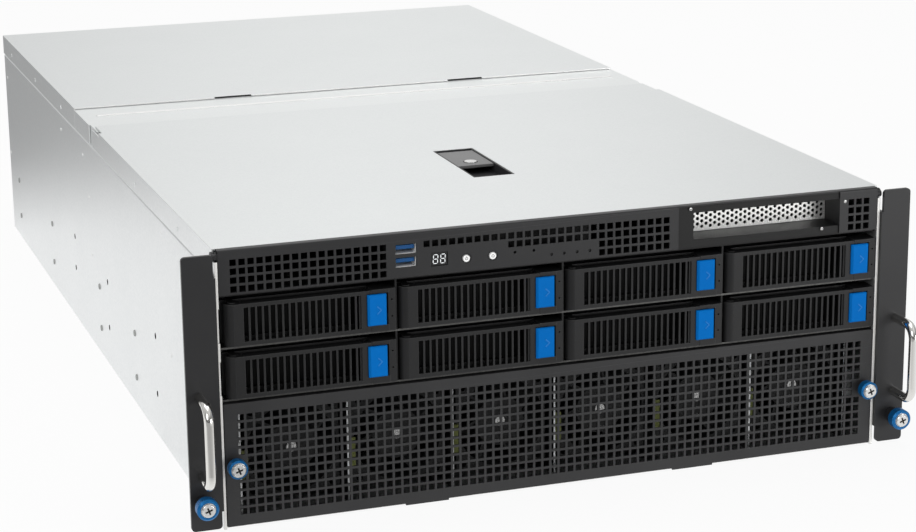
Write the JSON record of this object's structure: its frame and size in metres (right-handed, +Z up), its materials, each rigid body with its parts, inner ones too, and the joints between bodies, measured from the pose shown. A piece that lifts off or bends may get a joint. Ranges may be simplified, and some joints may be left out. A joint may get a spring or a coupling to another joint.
{
  "type": "rack server",
  "caption": "Four-unit rack server with hot-swap drive carriers over a fan wall, perforated front panels, rack ears with handles, two sliding covers, power supplies and graphics cards.",
  "frame": {"origin": "middle of the bottom of the bounding box, on the surface the server stands on", "axes": "+X to the right seen from the front, +Y to the back, +Z up"},
  "size_m": [0.4802, 0.854, 0.1745],
  "materials": {
    "galvanised": "satin spangled sheet",
    "cover_sheet": "satin sheet",
    "black_paint": "fine matt texture",
    "black_plastic": "matt",
    "release_blue": "satin",
    "screw_blue": "anodised",
    "chrome_bar": "polished",
    "bright_steel": "bright plated",
    "board": "solder mask",
    "button_metal": "bright",
    "latch_dark": "matt",
    "latch_grey": "satin",
    "fan_plastic": "matt",
    "card_shroud": "satin",
    "supply_case": "satin"
  },
  "bodies": {
    "chassis": {"chassis_tub": "galvanised", "rear_panel": "galvanised", "drive_cage": "black_paint", "main_boards": "board", "control_panel": "black_paint", "front_io": "bright_steel", "slot_frame": "black_paint", "slot_bracket": "bright_steel", "cover_bridge": "cover_sheet", "ear_left": "black_paint", "ear_right": "black_paint", "ear_handles": "chrome_bar", "fan_frames": "fan_plastic", "graphics_cards": "card_shroud", "rear_io": "bright_steel"},
    "front_cover": {"front_cover": "cover_sheet", "latch_housing": "latch_dark"},
    "latch_lever": {"latch_lever": "latch_grey"},
    "rear_cover": {"rear_cover": "cover_sheet"},
    "fan_grille": {"fan_grille": "black_paint"},
    "power_button": {"power_button": "button_metal"},
    "id_button": {"id_button": "button_metal"},
    "ear_screw_left": {"ear_screw_left": "screw_blue"},
    "ear_screw_right": {"ear_screw_right": "screw_blue"},
    "grille_screw_left": {"grille_screw_left": "screw_blue"},
    "grille_screw_right": {"grille_screw_right": "screw_blue"},
    "fan_rotor_1": {"fan_rotor_1": "fan_plastic"},
    "fan_rotor_2": {"fan_rotor_2": "fan_plastic"},
    "fan_rotor_3": {"fan_rotor_3": "fan_plastic"},
    "fan_rotor_4": {"fan_rotor_4": "fan_plastic"},
    "fan_rotor_5": {"fan_rotor_5": "fan_plastic"},
    "fan_rotor_6": {"fan_rotor_6": "fan_plastic"},
    "power_supply_1": {"power_supply_1": "supply_case"},
    "power_supply_2": {"power_supply_2": "supply_case"},
    "power_supply_3": {"power_supply_3": "supply_case"},
    "power_supply_4": {"power_supply_4": "supply_case"},
    "tray_1": {"tray_1": "black_plastic"},
    "lever_1": {"lever_1": "black_plastic"},
    "release_button_1": {"release_button_1": "release_blue"},
    "tray_2": {"tray_2": "black_plastic"},
    "lever_2": {"lever_2": "black_plastic"},
    "release_button_2": {"release_button_2": "release_blue"},
    "tray_3": {"tray_3": "black_plastic"},
    "lever_3": {"lever_3": "black_plastic"},
    "release_button_3": {"release_button_3": "release_blue"},
    "tray_4": {"tray_4": "black_plastic"},
    "lever_4": {"lever_4": "black_plastic"},
    "release_button_4": {"release_button_4": "release_blue"},
    "tray_5": {"tray_5": "black_plastic"},
    "lever_5": {"lever_5": "black_plastic"},
    "release_button_5": {"release_button_5": "release_blue"},
    "tray_6": {"tray_6": "black_plastic"},
    "lever_6": {"lever_6": "black_plastic"},
    "release_button_6": {"release_button_6": "release_blue"},
    "tray_7": {"tray_7": "black_plastic"},
    "lever_7": {"lever_7": "black_plastic"},
    "release_button_7": {"release_button_7": "release_blue"},
    "tray_8": {"tray_8": "black_plastic"},
    "lever_8": {"lever_8": "black_plastic"},
    "release_button_8": {"release_button_8": "release_blue"}
  },
  "joints": [
    {"name": "cover_slide", "type": "slide", "parent": "chassis", "child": "front_cover", "axis": [0, 1, 0], "range_m": [0, 0.012]},
    {"name": "latch_turn", "type": "hinge", "parent": "front_cover", "child": "latch_lever", "pos_m": [0, -0.193, 0.1709], "axis": [-1, 0, 0], "range_deg": [0, 75]},
    {"name": "rear_cover_slide", "type": "slide", "parent": "chassis", "child": "rear_cover", "axis": [0, 1, 0], "range_m": [0, 0.015]},
    {"name": "grille_slide", "type": "slide", "parent": "chassis", "child": "fan_grille", "axis": [0, -1, 0], "range_m": [0, 0.05]},
    {"name": "power_press", "type": "slide", "parent": "chassis", "child": "power_button", "axis": [0, 1, 0], "range_m": [0, 0.001], "stiffness_N_per_m": 400},
    {"name": "id_press", "type": "slide", "parent": "chassis", "child": "id_button", "axis": [0, 1, 0], "range_m": [0, 0.001], "stiffness_N_per_m": 400},
    {"name": "ear_screw_left_turn", "type": "hinge", "parent": "chassis", "child": "ear_screw_left", "pos_m": [-0.23255, -0.397, 0.02], "axis": [0, 1, 0], "continuous": true},
    {"name": "grille_screw_left_turn", "type": "hinge", "parent": "fan_grille", "child": "grille_screw_left", "pos_m": [-0.2117, -0.397, 0.04055], "axis": [0, 1, 0], "continuous": true},
    {"name": "ear_screw_right_turn", "type": "hinge", "parent": "chassis", "child": "ear_screw_right", "pos_m": [0.23255, -0.397, 0.02], "axis": [0, 1, 0], "continuous": true},
    {"name": "grille_screw_right_turn", "type": "hinge", "parent": "fan_grille", "child": "grille_screw_right", "pos_m": [0.2117, -0.397, 0.04055], "axis": [0, 1, 0], "continuous": true},
    {"name": "fan_spin_1", "type": "hinge", "parent": "chassis", "child": "fan_rotor_1", "pos_m": [-0.17075, -0.357, 0.04005], "axis": [0, 1, 0], "continuous": true},
    {"name": "fan_spin_2", "type": "hinge", "parent": "chassis", "child": "fan_rotor_2", "pos_m": [-0.10245, -0.357, 0.04005], "axis": [0, 1, 0], "continuous": true},
    {"name": "fan_spin_3", "type": "hinge", "parent": "chassis", "child": "fan_rotor_3", "pos_m": [-0.03415, -0.357, 0.04005], "axis": [0, 1, 0], "continuous": true},
    {"name": "fan_spin_4", "type": "hinge", "parent": "chassis", "child": "fan_rotor_4", "pos_m": [0.03415, -0.357, 0.04005], "axis": [0, 1, 0], "continuous": true},
    {"name": "fan_spin_5", "type": "hinge", "parent": "chassis", "child": "fan_rotor_5", "pos_m": [0.10245, -0.357, 0.04005], "axis": [0, 1, 0], "continuous": true},
    {"name": "fan_spin_6", "type": "hinge", "parent": "chassis", "child": "fan_rotor_6", "pos_m": [0.17075, -0.357, 0.04005], "axis": [0, 1, 0], "continuous": true},
    {"name": "power_supply_slide_1", "type": "slide", "parent": "chassis", "child": "power_supply_1", "axis": [0, 1, 0], "range_m": [0, 0.18]},
    {"name": "power_supply_slide_2", "type": "slide", "parent": "chassis", "child": "power_supply_2", "axis": [0, 1, 0], "range_m": [0, 0.18]},
    {"name": "power_supply_slide_3", "type": "slide", "parent": "chassis", "child": "power_supply_3", "axis": [0, 1, 0], "range_m": [0, 0.18]},
    {"name": "power_supply_slide_4", "type": "slide", "parent": "chassis", "child": "power_supply_4", "axis": [0, 1, 0], "range_m": [0, 0.18]},
    {"name": "tray_slide_1", "type": "slide", "parent": "chassis", "child": "tray_1", "axis": [0, -1, 0], "range_m": [0, 0.16]},
    {"name": "lever_turn_1", "type": "hinge", "parent": "tray_1", "child": "lever_1", "pos_m": [-0.20895, -0.3916, 0.1276], "axis": [0, 0, -1], "range_deg": [0, 65]},
    {"name": "button_slide_1", "type": "slide", "parent": "tray_1", "child": "release_button_1", "axis": [1, 0, 0], "range_m": [0, 0.0025], "stiffness_N_per_m": 300},
    {"name": "tray_slide_2", "type": "slide", "parent": "chassis", "child": "tray_2", "axis": [0, -1, 0], "range_m": [0, 0.16]},
    {"name": "lever_turn_2", "type": "hinge", "parent": "tray_2", "child": "lever_2", "pos_m": [-0.10025, -0.3916, 0.1276], "axis": [0, 0, -1], "range_deg": [0, 65]},
    {"name": "button_slide_2", "type": "slide", "parent": "tray_2", "child": "release_button_2", "axis": [1, 0, 0], "range_m": [0, 0.0025], "stiffness_N_per_m": 300},
    {"name": "tray_slide_3", "type": "slide", "parent": "chassis", "child": "tray_3", "axis": [0, -1, 0], "range_m": [0, 0.16]},
    {"name": "lever_turn_3", "type": "hinge", "parent": "tray_3", "child": "lever_3", "pos_m": [0.00845, -0.3916, 0.1276], "axis": [0, 0, -1], "range_deg": [0, 65]},
    {"name": "button_slide_3", "type": "slide", "parent": "tray_3", "child": "release_button_3", "axis": [1, 0, 0], "range_m": [0, 0.0025], "stiffness_N_per_m": 300},
    {"name": "tray_slide_4", "type": "slide", "parent": "chassis", "child": "tray_4", "axis": [0, -1, 0], "range_m": [0, 0.16]},
    {"name": "lever_turn_4", "type": "hinge", "parent": "tray_4", "child": "lever_4", "pos_m": [0.11715, -0.3916, 0.1276], "axis": [0, 0, -1], "range_deg": [0, 65]},
    {"name": "button_slide_4", "type": "slide", "parent": "tray_4", "child": "release_button_4", "axis": [1, 0, 0], "range_m": [0, 0.0025], "stiffness_N_per_m": 300},
    {"name": "tray_slide_5", "type": "slide", "parent": "chassis", "child": "tray_5", "axis": [0, -1, 0], "range_m": [0, 0.16]},
    {"name": "lever_turn_5", "type": "hinge", "parent": "tray_5", "child": "lever_5", "pos_m": [-0.20895, -0.3916, 0.095], "axis": [0, 0, -1], "range_deg": [0, 65]},
    {"name": "button_slide_5", "type": "slide", "parent": "tray_5", "child": "release_button_5", "axis": [1, 0, 0], "range_m": [0, 0.0025], "stiffness_N_per_m": 300},
    {"name": "tray_slide_6", "type": "slide", "parent": "chassis", "child": "tray_6", "axis": [0, -1, 0], "range_m": [0, 0.16]},
    {"name": "lever_turn_6", "type": "hinge", "parent": "tray_6", "child": "lever_6", "pos_m": [-0.10025, -0.3916, 0.095], "axis": [0, 0, -1], "range_deg": [0, 65]},
    {"name": "button_slide_6", "type": "slide", "parent": "tray_6", "child": "release_button_6", "axis": [1, 0, 0], "range_m": [0, 0.0025], "stiffness_N_per_m": 300},
    {"name": "tray_slide_7", "type": "slide", "parent": "chassis", "child": "tray_7", "axis": [0, -1, 0], "range_m": [0, 0.16]},
    {"name": "lever_turn_7", "type": "hinge", "parent": "tray_7", "child": "lever_7", "pos_m": [0.00845, -0.3916, 0.095], "axis": [0, 0, -1], "range_deg": [0, 65]},
    {"name": "button_slide_7", "type": "slide", "parent": "tray_7", "child": "release_button_7", "axis": [1, 0, 0], "range_m": [0, 0.0025], "stiffness_N_per_m": 300},
    {"name": "tray_slide_8", "type": "slide", "parent": "chassis", "child": "tray_8", "axis": [0, -1, 0], "range_m": [0, 0.16]},
    {"name": "lever_turn_8", "type": "hinge", "parent": "tray_8", "child": "lever_8", "pos_m": [0.11715, -0.3916, 0.095], "axis": [0, 0, -1], "range_deg": [0, 65]},
    {"name": "button_slide_8", "type": "slide", "parent": "tray_8", "child": "release_button_8", "axis": [1, 0, 0], "range_m": [0, 0.0025], "stiffness_N_per_m": 300}
  ],
  "couplings": [
    {"joint": "latch_turn", "follows": "cover_slide", "rad_per_m": 109}
  ]
}
